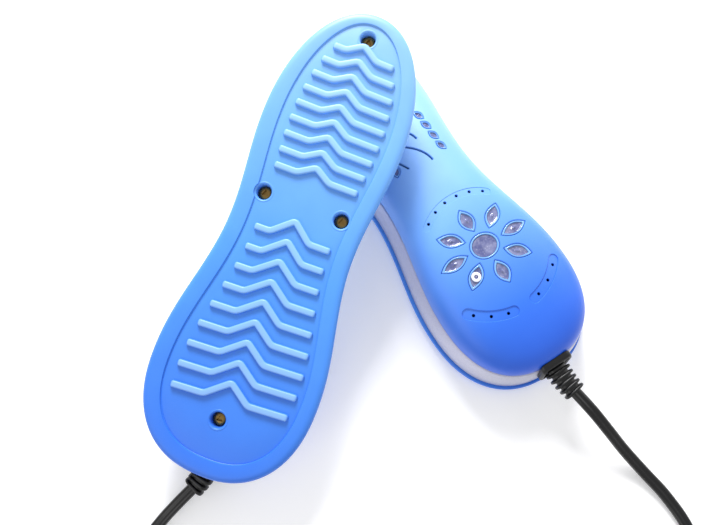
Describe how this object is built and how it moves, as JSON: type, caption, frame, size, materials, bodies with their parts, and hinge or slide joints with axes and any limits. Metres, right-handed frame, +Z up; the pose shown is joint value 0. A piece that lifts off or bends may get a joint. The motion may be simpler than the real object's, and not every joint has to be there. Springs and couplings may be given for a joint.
{
  "type": "boot dryer",
  "caption": "Foot-shaped electric boot dryers with ribbed soles, vented domes and a flower window, joined by one cord with a plug.",
  "frame": {"origin": "centre of the pair's footprint on the surface that it stands on, cord left out", "axes": "+Z up; +Y along the upright dryer towards its toe; +X to its right"},
  "size_m": [0.2598, 0.3729, 0.0651],
  "materials": {
    "blue_soft_touch": "satin soft-touch",
    "silver_plastic": "satin",
    "clear_plastic": "clear, gloss",
    "black_rubber": "satin",
    "black_cord": "smooth",
    "brass": "plated",
    "aluminium": "bent sheet",
    "heater_film": "polyimide film",
    "spring_steel": "spring steel",
    "fuse_white": "ceramic",
    "circuit_board": "solder mask",
    "lamp_lens": "clear",
    "wire_brown": "insulation",
    "wire_blue": "insulation",
    "nickel": "nickel plated"
  },
  "bodies": {
    "right_dryer": {"right_base_shell": "blue_soft_touch", "right_side_band": "silver_plastic", "right_upper_shell": "blue_soft_touch", "right_flower_window": "clear_plastic", "right_toe_window_a": "clear_plastic", "right_toe_window_b": "clear_plastic", "right_heater_plate": "aluminium", "right_ptc_heater": "heater_film", "right_heater_clip": "spring_steel", "right_thermal_fuse": "fuse_white", "right_lamp_board": "circuit_board", "right_lamp_centre": "lamp_lens", "right_lamp_heel": "lamp_lens", "right_wire_live": "wire_brown", "right_wire_neutral": "wire_blue", "right_wire_link": "wire_brown", "right_wire_lamp": "wire_brown", "right_screw_toe": "brass", "right_screw_waist_a": "brass", "right_screw_waist_b": "brass", "right_screw_heel": "brass", "right_strain_relief": "black_rubber", "lead_right": "black_cord", "lead_left": "black_cord", "main_cord": "black_cord", "plug_lead": "black_cord", "cord_coil": "black_cord", "cord_splitter": "black_rubber", "coil_tie": "black_rubber", "plug_body": "black_rubber", "plug_pin_a": "nickel", "plug_pin_b": "nickel"},
    "left_dryer": {"left_base_shell": "blue_soft_touch", "left_side_band": "silver_plastic", "left_upper_shell": "blue_soft_touch", "left_flower_window": "clear_plastic", "left_toe_window_a": "clear_plastic", "left_toe_window_b": "clear_plastic", "left_heater_plate": "aluminium", "left_ptc_heater": "heater_film", "left_heater_clip": "spring_steel", "left_thermal_fuse": "fuse_white", "left_lamp_board": "circuit_board", "left_lamp_centre": "lamp_lens", "left_lamp_heel": "lamp_lens", "left_wire_live": "wire_brown", "left_wire_neutral": "wire_blue", "left_wire_link": "wire_brown", "left_wire_lamp": "wire_brown", "left_screw_toe": "brass", "left_screw_waist_a": "brass", "left_screw_waist_b": "brass", "left_screw_heel": "brass", "left_strain_relief": "black_rubber"}
  },
  "joints": [
    {"name": "left_dryer_lift", "type": "slide", "parent": "right_dryer", "child": "left_dryer", "axis": [0, 0, 1], "range_m": [0, 0.08]}
  ]
}
